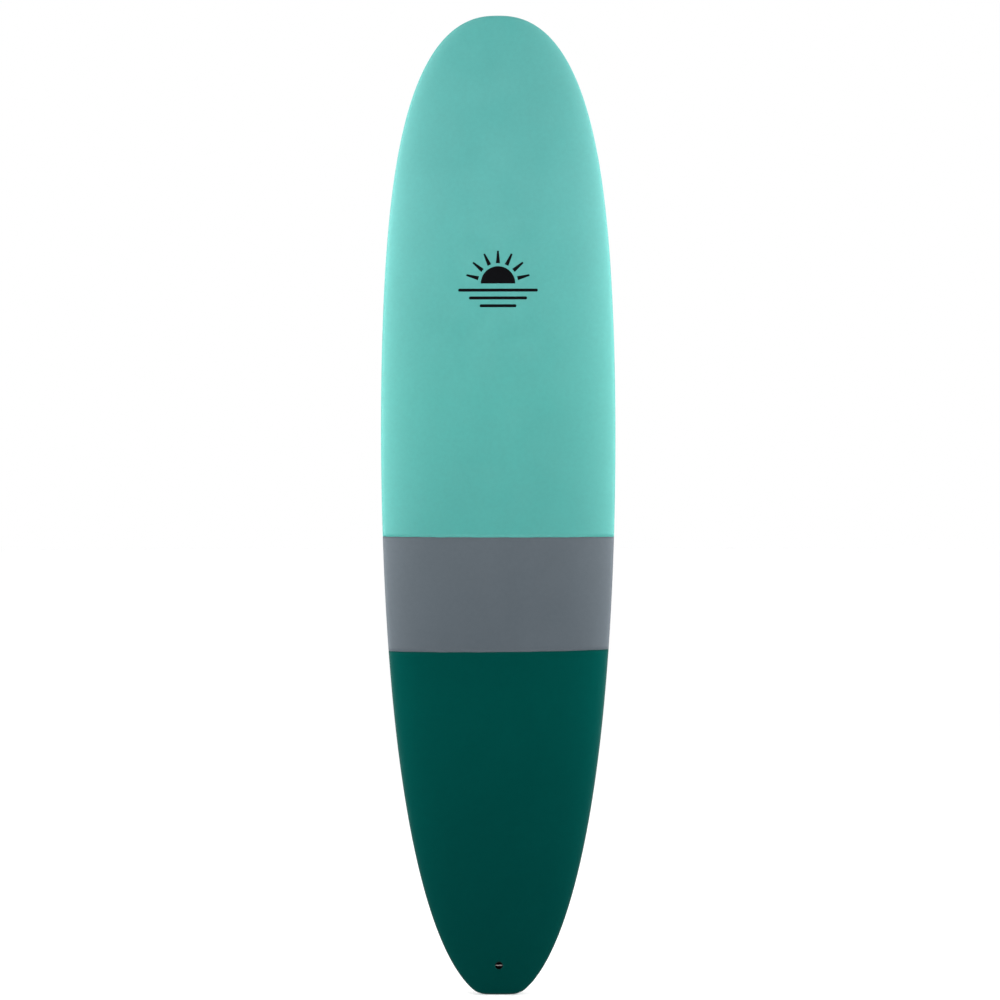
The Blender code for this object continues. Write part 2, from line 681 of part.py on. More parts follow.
def build_side(side, sign, core):
    """Box, fin and two grub screws on one side; sign is +1 on the right."""
    lift, lean = bottom_lift(SIDE_X, SIDE_Z)
    spot = (sign * SIDE_X, ZERO - rocker(SIDE_Z) - lift, SIDE_Z)
    slope = -bottom_slope(SIDE_Z)
    base = frame(f"side_frame_{side}", spot, (slope, -sign * SIDE_TOE, -sign * lean))
    canted = frame(f"side_cant_{side}", (0, 0, 0), (0.0, 0.0, -sign * SIDE_CANT), base)

    box = stadium(f"side_fin_box_{side}", SIDE_BOX_LENGTH, SIDE_BOX_WIDTH, -SIDE_BOX_DEPTH, FLANGE_PROUD)
    held(box, base)
    boolean(box, outside, "INTERSECT")
    pocket = stadium(
        f"side_pocket_{side}",
        SIDE_BOX_LENGTH + 2 * GAP,
        SIDE_BOX_WIDTH + 2 * GAP,
        -SIDE_BOX_DEPTH - GAP,
        PAST,
        CUTTERS,
    )
    held(pocket, base)
    boolean(core, pocket)
    boolean(bottom_skin, pocket)

    fin = loft(
        f"side_fin_{side}", fin_rings(SIDE_BASE, SIDE_DEPTH, SIDE_THICK, SIDE_FOOT, sign)
    )
    held(fin, canted)
    half_long = SIDE_TAB_LENGTH / 2
    half_wide = SIDE_TAB_WIDTH / 2
    for place, z in (("front", SIDE_TAB_Z), ("rear", -SIDE_TAB_Z)):
        tab = block(
            f"side_tab_{side}_{place}",
            (-half_wide, -SIDE_TAB_DEPTH, z - half_long),
            (half_wide, SIDE_TAB_TOP, z + half_long),
            CUTTERS,
        )
        held(tab, canted)
        boolean(fin, tab, "UNION")
        slot = block(
            f"side_slot_{side}_{place}",
            (-half_wide - GAP, -SIDE_TAB_DEPTH - GAP, z - half_long - GAP),
            (half_wide + GAP, PAST, z + half_long + GAP),
            CUTTERS,
        )
        held(slot, canted)
        boolean(box, slot)

        inward = Vector((sign * math.sin(GRUB_TILT), -math.cos(GRUB_TILT), 0.0))
        mouth = Vector((-sign * GRUB_X, 0.0, z))
        hole = cylinder(
            f"grub_hole_{side}_{place}",
            GRUB_R + GAP,
            mouth - PAST * inward,
            mouth + GRUB_HOLE * inward,
            CUTTERS,
        )
        held(hole, base)
        boolean(box, hole)
        grub = cylinder(
            f"side_fin_screw_{side}_{place}",
            GRUB_R,
            mouth + GRUB_SUNK * inward,
            mouth + (GRUB_SUNK + GRUB_LENGTH) * inward,
            bevel=BEVEL,
        )
        held(grub, base)
        key = cylinder(
            f"grub_key_{side}_{place}",
            GRUB_KEY_R,
            mouth - PAST * inward,
            mouth + GRUB_KEY_DEPTH * inward,
            CUTTERS,
            6,
        )
        held(key, base)
        boolean(grub, key)
        paint(grub, (0.45, 0.45, 0.45), 0.35, 1.0)

    paint(box, (0.025, 0.025, 0.027), 0.5)
    paint(fin, (0.022, 0.022, 0.024), 0.45)


build_side("left", -1, foam_core_left)
build_side("right", 1, foam_core_right)

# ---- materials --------------------------------------------------------------------------------
paint(deck_skin_nose, (0.115, 0.475, 0.430), 0.55)
paint(deck_skin_band, (0.120, 0.145, 0.165), 0.55)
paint(deck_skin_tail, (0.004, 0.060, 0.050), 0.55)
paint(bottom_skin, (0.80, 0.79, 0.75), 0.45)
paint(foam_core_left, (0.88, 0.87, 0.82), 0.9)
paint(foam_core_right, (0.88, 0.87, 0.82), 0.9)
paint(stringer, (0.50, 0.33, 0.18), 0.7)
paint(leash_plug_cup, (0.015, 0.015, 0.016), 0.5)
paint(leash_plug_bar, (0.62, 0.60, 0.56), 0.3, 1.0)
paint(centre_fin_box, (0.025, 0.025, 0.027), 0.5)
paint(centre_fin, (0.022, 0.022, 0.024), 0.45)
paint(centre_fin_pin, (0.70, 0.52, 0.25), 0.35, 1.0)
paint(centre_fin_plate, (0.55, 0.55, 0.54), 0.35, 1.0)
paint(centre_fin_screw, (0.60, 0.60, 0.59), 0.3, 1.0)
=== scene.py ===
import math

import bmesh
import bpy
import numpy as np
from mathutils import Matrix, Vector

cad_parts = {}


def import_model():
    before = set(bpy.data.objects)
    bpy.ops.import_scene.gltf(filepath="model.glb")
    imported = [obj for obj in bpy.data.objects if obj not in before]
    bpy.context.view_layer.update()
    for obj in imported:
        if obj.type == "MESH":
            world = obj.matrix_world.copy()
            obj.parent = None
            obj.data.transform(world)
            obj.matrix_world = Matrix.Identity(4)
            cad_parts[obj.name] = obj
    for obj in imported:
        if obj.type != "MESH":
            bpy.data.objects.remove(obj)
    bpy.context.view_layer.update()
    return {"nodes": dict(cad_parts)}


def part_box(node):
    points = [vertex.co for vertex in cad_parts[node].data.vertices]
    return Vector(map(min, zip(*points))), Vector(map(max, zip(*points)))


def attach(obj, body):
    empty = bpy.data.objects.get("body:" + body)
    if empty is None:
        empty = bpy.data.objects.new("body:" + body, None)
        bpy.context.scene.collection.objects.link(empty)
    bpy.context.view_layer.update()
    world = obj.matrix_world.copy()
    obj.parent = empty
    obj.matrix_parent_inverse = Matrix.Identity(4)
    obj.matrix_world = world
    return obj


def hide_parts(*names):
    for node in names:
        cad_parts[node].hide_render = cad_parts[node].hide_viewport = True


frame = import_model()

# Longboard surfboard. Row frame, metres: +Z to the nose, -Y out of the deck, +Y out of the
# bottom, +X to the right seen from the deck side. The origin is the centre of the tail end.

# ---- hull, the same curves as the CAD solids ---------------------------------------------------
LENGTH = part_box("deck_skin_nose")[1].z
HALF_WIDTH = 0.2985  # before the nose and tail curves narrow it; the widest half is 0.295
NOSE_START = 0.300
NOSE_POWER = 6.24
NOSE_ROUND = 0.4276
TAIL_START = 1.745
TAIL_RUN = 1.760
TAIL_POWER = 2.81
TAIL_ROUND = 0.478
TAIL_CORNER = 0.012  # radius of the outline's corners at the tail end

MIDDLE = LENGTH / 2
THICKNESS = 0.079
TAIL_THICKNESS = 0.019
NOSE_THICKNESS = 0.016
TAIL_THINNING = 2.8
NOSE_THINNING = 3.2
TAIL_ROCKER = 0.066
NOSE_ROCKER = 0.114
TAIL_ROCKER_POWER = 2.5
NOSE_ROCKER_POWER = 2.8
APEX = 0.45
DECK_POWER = 2.5
BOTTOM_POWER = 5.0
TAIL_EDGE = 0.006
NOSE_EDGE = 0.008
ZERO = TAIL_ROCKER + TAIL_THICKNESS / 2  # puts y = 0 at half the thickness of the tail end

LAP = 0.022  # inset of the line on the bottom where the deck laminate ends
LAP_CORNER = 0.020  # length over which that line rounds off at the tail
LAP_STEP = 0.0002  # the deck laminate stands this far above the bottom laminate
LAP_UNDER = 0.0015  # and covers this much of its edge
PANEL = 0.0012  # thickness of the deck laminate
BOTTOM_PANEL = 0.0008  # thickness of the bottom laminate
GAP = 0.0003  # what the holes for the fin boxes are longer and wider than the boxes by

GREEN_TO_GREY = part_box("deck_skin_tail")[1].z
GREY_TO_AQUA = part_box("deck_skin_nose")[0].z
# hand-masked colour lines: lift at the centre, slope and bow across the board
GREEN_LINE = (-0.0006, 0.0074, 0.0400)
AQUA_LINE = (-0.0003, -0.0020, 0.0200)

PLUG_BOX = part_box("leash_plug_cup")
PLUG_Z = (PLUG_BOX[0].z + PLUG_BOX[1].z) / 2
PLUG_RIM_R = 0.0094  # the rim that shows; the deck laminate laps over the rest
PLUG_BORE_R = 0.0088
BAR_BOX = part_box("leash_plug_bar")

BOX_Z = 0.264
BOX_FLANGE = (0.267, 0.026)  # length and width
FIN_SHIFT = -0.008  # the centre fin at rest, from the middle of its box
SIDE_Z = 0.3885
SIDE_X = 0.1655
SIDE_TOE = math.radians(1.5)
SIDE_CANT = math.radians(4.0)
SIDE_BOX = (0.117, 0.024)  # length and width


def edge_cut(distance, radius):
    """Inset of a rounded edge at a distance in from the end."""
    inside = np.clip(radius - distance, 0, radius)
    return radius - np.sqrt(radius**2 - inside**2)


def half_width(z):
    """Half width of the outline at height z."""
    nose = np.clip((z - NOSE_START) / (LENGTH - NOSE_START), 0, 1)
    tail = np.clip((TAIL_START - z) / TAIL_RUN, 0, 1)
    full = HALF_WIDTH * (1 - nose**NOSE_POWER) ** NOSE_ROUND * (1 - tail**TAIL_POWER) ** TAIL_ROUND
    return full - edge_cut(z, TAIL_CORNER)


def rocker(z):
    """How far the bottom has risen towards the deck at height z."""
    tail = TAIL_ROCKER * np.clip((MIDDLE - z) / MIDDLE, 0, 1) ** TAIL_ROCKER_POWER
    nose = NOSE_ROCKER * np.clip((z - MIDDLE) / MIDDLE, 0, 1) ** NOSE_ROCKER_POWER
    return tail + nose


def thickness(z):
    """Thickness on the centreline at height z."""
    tail = (THICKNESS - TAIL_THICKNESS) * np.clip((MIDDLE - z) / MIDDLE, 0, 1) ** TAIL_THINNING
    nose = (THICKNESS - NOSE_THICKNESS) * np.clip((z - MIDDLE) / MIDDLE, 0, 1) ** NOSE_THINNING
    return THICKNESS - tail - nose


def deck_height(x, z):
    """The y of the deck surface at x, z."""
    thick = thickness(z)
    share = np.clip(np.abs(x) / half_width(z), 0, 1)
    up = (1 - APEX) * thick * (1 - share**DECK_POWER) ** (1 / DECK_POWER)
    return ZERO - rocker(z) - APEX * thick - up


def bottom_height(x, z, inset=0.0):
    """The y of the bottom surface at x, z, moved in by inset."""
    thick = thickness(z)
    share = np.clip(np.abs(x) / half_width(z), 0, 0.9999)
    down = APEX * thick * (1 - share**BOTTOM_POWER) ** (1 / BOTTOM_POWER)
    return ZERO - rocker(z) - APEX * thick + down - inset


def lap_line(z):
    """Half width of the field inside the lap line, on the bottom."""
    spread = (z - LAP) * LENGTH / (LENGTH - 2 * LAP)
    wide = np.clip(half_width(np.clip(spread, 0, LENGTH)) - LAP, 0, None)
    corner = np.clip((z - LAP) / LAP_CORNER, 0, 1)
    wide = wide * np.sqrt(1 - (1 - corner) ** 2)
    return np.where((z > LAP) & (z < LENGTH - LAP), wide, 0.0)


# ---- mesh helpers ------------------------------------------------------------------------------
def finish_mesh(name, bm, body, mat, smooth=40.0):
    """Make an object from a bmesh, shade it and hang it on a body."""
    mesh = bpy.data.meshes.new(name)
    bm.to_mesh(mesh)
    bm.free()
    obj = bpy.data.objects.new(name, mesh)
    bpy.context.scene.collection.objects.link(obj)
    if smooth is not None:
        mesh.shade_smooth()
        mesh.set_sharp_from_angle(angle=math.radians(smooth))
    if mat is not None:
        mesh.materials.append(mat)
    if body is not None:
        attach(obj, body)
    return obj


def grid_faces(bm, points, wrap=False):
    """Quads over an array of points (rows, columns, 3)."""
    rows, cols = points.shape[:2]
    verts = [[bm.verts.new(points[i, j]) for j in range(cols)] for i in range(rows)]
    for i in range(rows - 1):
        for j in range(cols if wrap else cols - 1):
            k = (j + 1) % cols
            bm.faces.new((verts[i][j], verts[i][k], verts[i + 1][k], verts[i + 1][j]))
    return verts


def tidy(bm, merge=1e-6):
    """Merge coincident points and drop collapsed faces."""
    bmesh.ops.remove_doubles(bm, verts=bm.verts, dist=merge)
    bmesh.ops.dissolve_degenerate(bm, dist=merge, edges=bm.edges)


def apply_modifiers(obj):
    """Bake the modifier stack into the mesh."""
    graph = bpy.context.evaluated_depsgraph_get()
    mesh = bpy.data.meshes.new_from_object(obj.evaluated_get(graph), depsgraph=graph)
    old = obj.data
    obj.modifiers.clear()
    obj.data = mesh
    bpy.data.meshes.remove(old)


def shell(obj, thick):
    """Give a skin its thickness, inwards."""
    mod = obj.modifiers.new("thickness", "SOLIDIFY")
    mod.thickness = thick
    mod.offset = -1
    mod.use_even_offset = False
    apply_modifiers(obj)


def cut(obj, tools):
    """Cut holes with temporary tool objects."""
    for tool in tools:
        mod = obj.modifiers.new("cut", "BOOLEAN")
        mod.object = tool
        mod.operation = "DIFFERENCE"
        mod.solver = "EXACT"
    bpy.context.view_layer.update()
    apply_modifiers(obj)


def tool_prism(outline, matrix, low, high):
    """A temporary cutter: an outline in x, z run from y = low to y = high, placed by matrix."""
    bm = bmesh.new()
    rings = np.array([[(x, y, z) for x, z in outline] for y in (low, high)])
    verts = grid_faces(bm, rings, wrap=True)
    bm.faces.new(verts[0])
    bm.faces.new(verts[1])
    bmesh.ops.recalc_face_normals(bm, faces=bm.faces)
    bmesh.ops.transform(bm, matrix=matrix, verts=bm.verts)
    mesh = bpy.data.meshes.new("tool")
    bm.to_mesh(mesh)
    bm.free()
    obj = bpy.data.objects.new("tool", mesh)
    bpy.context.scene.collection.objects.link(obj)
    return obj


def stadium_outline(length, width, steps=24):
    """Round-ended outline, long in z."""
    radius = width / 2
    reach = length / 2 - radius
    points = []
    for end in (1, -1):
        for k in range(steps + 1):
            angle = math.pi * k / steps
            points.append(
                (end * radius * math.cos(angle), end * (reach + radius * math.sin(angle)))
            )
    return points


def circle_outline(radius, steps=96):
    """Round outline."""
    angles = [2 * math.pi * k / steps for k in range(steps)]
    return [(radius * math.cos(a), radius * math.sin(a)) for a in angles]


# ---- materials ---------------------------------------------------------------------------------
class Nodes:
    """Short notation for building one material's node tree."""

    def __init__(self, name, color, roughness, metallic=0.0, **sockets):
        self.mat = bpy.data.materials.new(name)
        self.mat.use_nodes = True
        self.tree = self.mat.node_tree
        self.shader = self.tree.nodes["Principled BSDF"]
        self.shader.inputs["Base Color"].default_value = (*color, 1)
        self.shader.inputs["Roughness"].default_value = roughness
        self.shader.inputs["Metallic"].default_value = metallic
        for key, value in sockets.items():
            self.shader.inputs[key.replace("_", " ")].default_value = value
        self.place = self.tree.nodes.new("ShaderNodeTexCoord").outputs["Object"]
        self.bump_height = None

    def link(self, source, target):
        self.tree.links.new(source, target)

    def mapped(self, scale):
        """Object coordinates, stretched."""
        node = self.tree.nodes.new("ShaderNodeMapping")
        node.inputs["Scale"].default_value = scale
        self.link(self.place, node.inputs["Vector"])
        return node.outputs["Vector"]

    def noise(self, scale, detail=3.0, rough=0.55, stretch=(1, 1, 1), distortion=0.0):
        """Fractal noise, 0 to 1."""
        node = self.tree.nodes.new("ShaderNodeTexNoise")
        node.inputs["Scale"].default_value = scale
        node.inputs["Detail"].default_value = detail
        node.inputs["Roughness"].default_value = rough
        node.inputs["Distortion"].default_value = distortion
        self.link(self.mapped(stretch), node.inputs["Vector"])
        return node.outputs["Fac"]

    def cells(self, scale):
        """Cell distance."""
        node = self.tree.nodes.new("ShaderNodeTexVoronoi")
        node.inputs["Scale"].default_value = scale
        self.link(self.place, node.inputs["Vector"])
        return node.outputs["Distance"]

    def axis(self, name):
        """One object coordinate."""
        node = self.tree.nodes.new("ShaderNodeSeparateXYZ")
        self.link(self.place, node.inputs[0])
        return node.outputs[name]

    def math(self, operation, a, b=None):
        """Arithmetic on sockets or numbers."""
        node = self.tree.nodes.new("ShaderNodeMath")
        node.operation = operation
        for socket, value in zip(node.inputs, (a, b)):
            if value is None:
                continue
            if isinstance(value, (int, float)):
                socket.default_value = value
            else:
                self.link(value, socket)
        return node.outputs[0]

    def span(self, value, low, high, to_low=0.0, to_high=1.0, smooth=False):
        """Map a range of value onto another, clamped."""
        node = self.tree.nodes.new("ShaderNodeMapRange")
        node.interpolation_type = "SMOOTHSTEP" if smooth else "LINEAR"
        self.link(value, node.inputs["Value"])
        keys = ("From Min", "From Max", "To Min", "To Max")
        for key, number in zip(keys, (low, high, to_low, to_high)):
            node.inputs[key].default_value = number
        return node.outputs["Result"]

    def mix(self, factor, a, b):
        """Blend two colours."""
        node = self.tree.nodes.new("ShaderNodeMix")
        node.data_type = "RGBA"
        self.link(factor, node.inputs["Factor"])
        for key, value in (("A", a), ("B", b)):
            socket = [s for s in node.inputs if s.name == key and s.type == "RGBA"][0]
            if isinstance(value, tuple):
                socket.default_value = (*value, 1)
            else:
                self.link(value, socket)
        return [s for s in node.outputs if s.type == "RGBA"][0]

    def paint(self, color):
        self.link(color, self.shader.inputs["Base Color"])

    def gloss(self, value):
        self.link(value, self.shader.inputs["Roughness"])

    def bump(self, height, distance, strength=1.0):
        """Add a layer of bump."""
        node = self.tree.nodes.new("ShaderNodeBump")
        node.inputs["Distance"].default_value = distance
        node.inputs["Strength"].default_value = strength
        self.link(height, node.inputs["Height"])
        if self.bump_height is not None:
            self.link(self.bump_height, node.inputs["Normal"])
        self.bump_height = node.outputs["Normal"]
        self.link(self.bump_height, self.shader.inputs["Normal"])


def shade(color, factor):
    """A lighter or darker version of a colour."""
    return tuple(min(max(c * factor, 0.0), 1.0) for c in color)


def vary(n, color, factor, amount):
    """Make a colour darker and lighter by an amount, as factor goes from 0 to 1."""
    return multiply(n, color, n.mix(factor, (1 - amount,) * 3, (1 + amount,) * 3))


def resin(name, tones, roughness=0.42, specular=0.4, tint=(1.0, 1.0, 1.0)):
    """Opaque pigmented laminate with a sanded finish; tones are (height, colour) from the tail up. The
    change from tone to tone along the height is painted light: the deck is lighter where more light
    falls on it.
    """
    n = Nodes(name, tones[-1][1], roughness)
    n.shader.inputs["Specular IOR Level"].default_value = specular
    n.shader.inputs["Specular Tint"].default_value = (*tint, 1)
    cloud = n.noise(5.5, 4.0, 0.6, (1.0, 1.0, 0.6))
    mottle = n.noise(95.0, 5.0, 0.62)
    speck = n.noise(620.0, 2.0, 0.5)
    # painted light: the colour is blended along the height from tone to tone, lighter where more light
    # falls
    height = n.axis("Z")
    base = n.mix(n.span(height, tones[0][0], tones[1][0]), tones[0][1], tones[1][1])
    for (start, _), (end, color) in zip(tones[1:], tones[2:]):
        base = n.mix(n.span(height, start, end), base, color)
    base = vary(n, base, n.span(cloud, 0.32, 0.68, 0, 1, True), 0.025)
    base = vary(n, base, n.span(mottle, 0.30, 0.70), 0.035)
    n.paint(vary(n, base, n.span(speck, 0.25, 0.75), 0.025))
    sanded = n.noise(1.0, 3.0, 0.6, (900.0, 900.0, 55.0))
    crossed = n.noise(1.0, 3.0, 0.6, (70.0, 70.0, 1000.0))
    scratch = n.math("ADD", n.math("MULTIPLY", sanded, 0.5), n.math("MULTIPLY", crossed, 0.5))
    smear = n.noise(14.0, 4.0, 0.6)
    wide = n.span(smear, 0.3, 0.7, roughness - 0.05, roughness + 0.05)
    n.gloss(n.math("ADD", wide, n.span(scratch, 0.35, 0.65, -0.03, 0.03)))
    n.bump(n.noise(3.2, 2.0, 0.5), 0.0006)
    n.bump(mottle, 0.00003)
    n.bump(scratch, 0.000012)
    return n.mat


def multiply(n, a, b):
    """Product of two colours."""
    node = n.tree.nodes.new("ShaderNodeMix")
    node.data_type = "RGBA"
    node.blend_type = "MULTIPLY"
    node.clamp_result = False
    node.inputs["Factor"].default_value = 1.0
    sockets = [s for s in node.inputs if s.type == "RGBA"]
    n.link(a, sockets[0])
    n.link(b, sockets[1])
    return [s for s in node.outputs if s.type == "RGBA"][0]


# Each panel's colour is its paint; the change along its height is painted light, lighter towards the
# nose where more light falls, the aqua lightest at about 2 m.
aqua = resin(
    "aqua_laminate",
    [
        (GREY_TO_AQUA, (0.0400, 0.350, 0.315)),
        (1.49, (0.0540, 0.400, 0.356)),
        (1.99, (0.0765, 0.429, 0.396)),
        (2.40, (0.0640, 0.400, 0.367)),
    ],
    specular=0.7,
)
grey = resin(
    "grey_laminate",
    [(GREEN_TO_GREY, (0.0715, 0.093, 0.112)), (GREY_TO_AQUA, (0.084, 0.107, 0.127))],
    specular=0.42,
)
green = resin(
    "green_laminate",
    [
        (0.02, (0.0002, 0.0245, 0.0202)),
        (0.24, (0.0002, 0.0290, 0.0243)),
        (0.73, (0.0002, 0.0425, 0.0350)),
    ],
    specular=0.22,
    tint=(0.0, 1.0, 0.92),
)


WEAVE = 0.0016  # pitch of the glass cloth


def bottom_material():
    """Clear laminate over white foam, with the stringer showing through as a thin line edged by a
    painted shadow.
    """
    n = Nodes("bottom_laminate", (0.73, 0.715, 0.665), 0.30)
    cloud = n.noise(4.0, 4.0, 0.6)
    base = n.mix(n.span(cloud, 0.3, 0.7), (0.715, 0.698, 0.645), (0.745, 0.732, 0.685))
    weave_a = n.math("SINE", n.math("MULTIPLY", n.axis("X"), 2 * math.pi / WEAVE))
    weave_b = n.math("SINE", n.math("MULTIPLY", n.axis("Z"), 2 * math.pi / WEAVE))
    weave = n.math("MULTIPLY", weave_a, weave_b)
    base = n.mix(n.span(weave, -1, 1, 0.0, 0.045), base, (0.62, 0.61, 0.57))
    speck = n.noise(380.0, 3.0, 0.6)
    base = n.mix(n.span(speck, 0.60, 0.78, 0.0, 0.20), base, (0.55, 0.53, 0.47))
    off = n.math("ABSOLUTE", n.axis("X"))
    grain = n.noise(1.0, 4.0, 0.6, (900.0, 900.0, 26.0))
    wood = n.mix(n.span(grain, 0.3, 0.7), (0.40, 0.27, 0.15), (0.56, 0.41, 0.25))
    line = n.span(off, 0.0017, 0.0023, 1.0, 0.0)
    # a darker fringe along both sides of the stringer line: painted shadow edges
    base = n.mix(n.span(off, 0.0030, 0.0022, 0.0, 0.35), base, (0.45, 0.40, 0.32))
    n.paint(n.mix(line, base, wood))
    sanded = n.noise(1.0, 3.0, 0.6, (800.0, 800.0, 50.0))
    smear = n.span(n.noise(12.0), 0.3, 0.7, 0.24, 0.34)
    n.gloss(n.math("ADD", smear, n.span(sanded, 0.35, 0.65, -0.02, 0.02)))
    n.bump(n.noise(3.0, 2.0), 0.0006)
    n.bump(weave, 0.000004)
    n.bump(sanded, 0.00001)
    return n.mat


def moulded(name, color, roughness, grain=1400.0, depth=0.00003, specular=0.3):
    """Moulded black plastic with a fine spark-eroded grain and rubbed high spots."""
    n = Nodes(name, color, roughness, Specular_IOR_Level=specular)
    fine = n.noise(grain, 3.0, 0.6)
    wide = n.noise(38.0, 4.0, 0.6)
    base = n.mix(n.span(wide, 0.3, 0.7), shade(color, 0.82), shade(color, 1.22))
    rub = n.noise(160.0, 5.0, 0.7, (1, 1, 0.4))
    base = n.mix(n.span(rub, 0.62, 0.80, 0.0, 0.35), base, shade(color, 2.1))
    n.paint(base)
    smear = n.span(wide, 0.3, 0.7, roughness - 0.06, roughness + 0.06)
    n.gloss(n.math("ADD", smear, n.span(fine, 0.3, 0.7, -0.04, 0.04)))
    n.bump(fine, depth)
    return n.mat


def fin_material(name):
    """Short-fibre filled nylon: dull black with faint flow marks along the foil."""
    color = (0.020, 0.021, 0.023)
    n = Nodes(name, color, 0.42, Specular_IOR_Level=0.3)
    flow = n.noise(1.0, 4.0, 0.65, (120.0, 30.0, 120.0), 0.8)
    fibre = n.noise(900.0, 3.0, 0.6)
    base = n.mix(n.span(flow, 0.3, 0.7), shade(color, 0.80), shade(color, 1.30))
    base = n.mix(n.span(fibre, 0.62, 0.78, 0.0, 0.5), base, (0.06, 0.062, 0.066))
    n.paint(base)
    smear = n.span(flow, 0.3, 0.7, 0.34, 0.48)
    n.gloss(n.math("ADD", smear, n.span(fibre, 0.3, 0.7, -0.03, 0.03)))
    n.bump(fibre, 0.00002)
    n.bump(flow, 0.00004)
    return n.mat


def metal(name, color, roughness, stretch, wear=0.5):
    """Drawn or turned metal: fine lines along or across the piece, duller blotches."""
    n = Nodes(name, color, roughness, 1.0)
    lines = n.noise(1.0, 4.0, 0.7, stretch)
    blotch = n.noise(420.0, 4.0, 0.6)
    base = n.mix(n.span(lines, 0.3, 0.7), shade(color, 0.86), shade(color, 1.08))
    base = n.mix(n.span(blotch, 0.50, 0.75, 0.0, wear), base, shade(color, 0.62))
    n.paint(base)
    dull = n.span(blotch, 0.3, 0.7, roughness - 0.06, roughness + 0.10)
    n.gloss(n.math("ADD", dull, n.span(lines, 0.3, 0.7, -0.05, 0.05)))
    n.bump(lines, 0.000012)
    return n.mat


def foam_material():
    """Cut foam: off-white, open cells with painted shade in their pits, faint shaping marks."""
    color = (0.84, 0.82, 0.74)
    n = Nodes("blank_foam", color, 0.9)
    cell = n.cells(900.0)
    wide = n.noise(7.0, 4.0, 0.6)
    base = n.mix(n.span(wide, 0.3, 0.7), shade(color, 0.95), shade(color, 1.04))
    # the cells are darkened towards their middles, where the bump sinks them into pits: painted shade
    # in the hollows
    n.paint(n.mix(n.span(cell, 0.0, 0.55, 0.5, 0.0), base, shade(color, 0.78)))
    n.gloss(n.span(cell, 0.0, 0.6, 0.96, 0.84))
    n.bump(cell, 0.0002)
    return n.mat


def wood_material():
    """Basswood strip with grain along its length."""
    n = Nodes("stringer_wood", (0.50, 0.34, 0.19), 0.65)
    grain = n.noise(1.0, 5.0, 0.65, (260.0, 60.0, 4.0), 0.6)
    pore = n.noise(1.0, 3.0, 0.6, (1500.0, 1500.0, 40.0))
    base = n.mix(n.span(grain, 0.3, 0.7), (0.40, 0.26, 0.14), (0.60, 0.43, 0.26))
    n.paint(n.mix(n.span(pore, 0.60, 0.80, 0.0, 0.5), base, (0.25, 0.15, 0.08)))
    n.gloss(n.span(grain, 0.3, 0.7, 0.58, 0.74))
    n.bump(pore, 0.00005)
    return n.mat


def ink_material():
    """Black decal ink under the sanded finish, very slightly worn."""
    color = (0.0024, 0.0026, 0.0036)
    n = Nodes("decal_ink", color, 0.46)
    n.shader.inputs["Specular IOR Level"].default_value = 0.04
    speck = n.noise(700.0, 4.0, 0.7)
    wide = n.noise(60.0, 4.0, 0.6)
    base = n.mix(n.span(wide, 0.3, 0.7), shade(color, 0.85), shade(color, 1.20))
    n.paint(n.mix(n.span(speck, 0.68, 0.80, 0.0, 0.5), base, (0.020, 0.032, 0.032)))
    n.gloss(n.span(wide, 0.3, 0.7, 0.42, 0.52))
    n.bump(speck, 0.00001)
    return n.mat


# ---- hull panels -------------------------------------------------------------------------------
DECK_SPANS = 44
RAIL_SPANS = 26
DECK_TAU = np.linspace(0, 1, DECK_SPANS + 1)
RAIL_TAU = np.linspace(0, 1, RAIL_SPANS + 1)
# columns run from the right lap edge round the rail, over the deck and down to the left lap edge
SIDE = np.concatenate([np.ones(RAIL_SPANS + DECK_SPANS + 1), -np.ones(RAIL_SPANS + DECK_SPANS)])
ON_DECK = np.concatenate(
    [np.zeros(RAIL_SPANS), np.ones(2 * DECK_SPANS + 1), np.zeros(RAIL_SPANS)]
).astype(bool)
TAU = np.concatenate([RAIL_TAU[:0:-1], DECK_TAU, DECK_TAU[-2::-1], RAIL_TAU[1:]])


def hull_points(z):
    """Points of the deck laminate for an array of heights (rows, columns)."""
    tail_cut = edge_cut(z, TAIL_EDGE)
    nose_cut = edge_cut(LENGTH - z, NOSE_EDGE)
    thick = thickness(z)
    wide = half_width(z) - tail_cut
    shrink = 1 - 2 * (tail_cut + nose_cut) / thick
    apex = rocker(z) + APEX * thick
    lap = np.clip(lap_line(z) / np.maximum(wide, 1e-9), 0, 1)
    turn = 0.5 * math.pi * TAU
    under = np.arccos(lap ** (BOTTOM_POWER / 2)) * TAU ** (BOTTOM_POWER / 2)
    share = np.where(
        ON_DECK,
        np.clip(np.cos(turn), 0, 1) ** (2 / DECK_POWER),
        np.clip(np.cos(under), 0, 1) ** (2 / BOTTOM_POWER),
    )
    up = (1 - APEX) * thick * shrink * np.sin(turn) ** (2 / DECK_POWER)
    down = APEX * thick * shrink * np.sin(under) ** (2 / BOTTOM_POWER)
    height = apex + np.where(ON_DECK, up, -down)
    return np.stack([SIDE * wide * share, ZERO - height, z], axis=-1)


def masked_line(x, line):
    """Lift of a hand-masked colour line at x."""
    ripple = 0.00022 * np.sin(61.0 * x + 0.7) + 0.00013 * np.sin(143.0 * x)
    return line[0] + line[1] * x + line[2] * x**2 + ripple


LINE_FADE = 0.06  # distance from a colour line over which the rows straighten out


def panel_heights(rows, lines):
    """Heights for every row and column, bent to the colour lines at the panel's ends."""
    z = np.repeat(np.array(rows)[:, None], len(TAU), axis=1)
    x = hull_points(z)[..., 0]
    for at, line in lines:
        reach = np.clip(1 - np.abs(z - at) / LINE_FADE, 0, 1)
        z = z + masked_line(x, line) * reach * reach * (3 - 2 * reach)
    return z


def steps(start, end, pitch):
    """Evenly spaced heights, both ends included."""
    count = max(2, int(round((end - start) / pitch)))
    return list(np.linspace(start, end, count + 1))


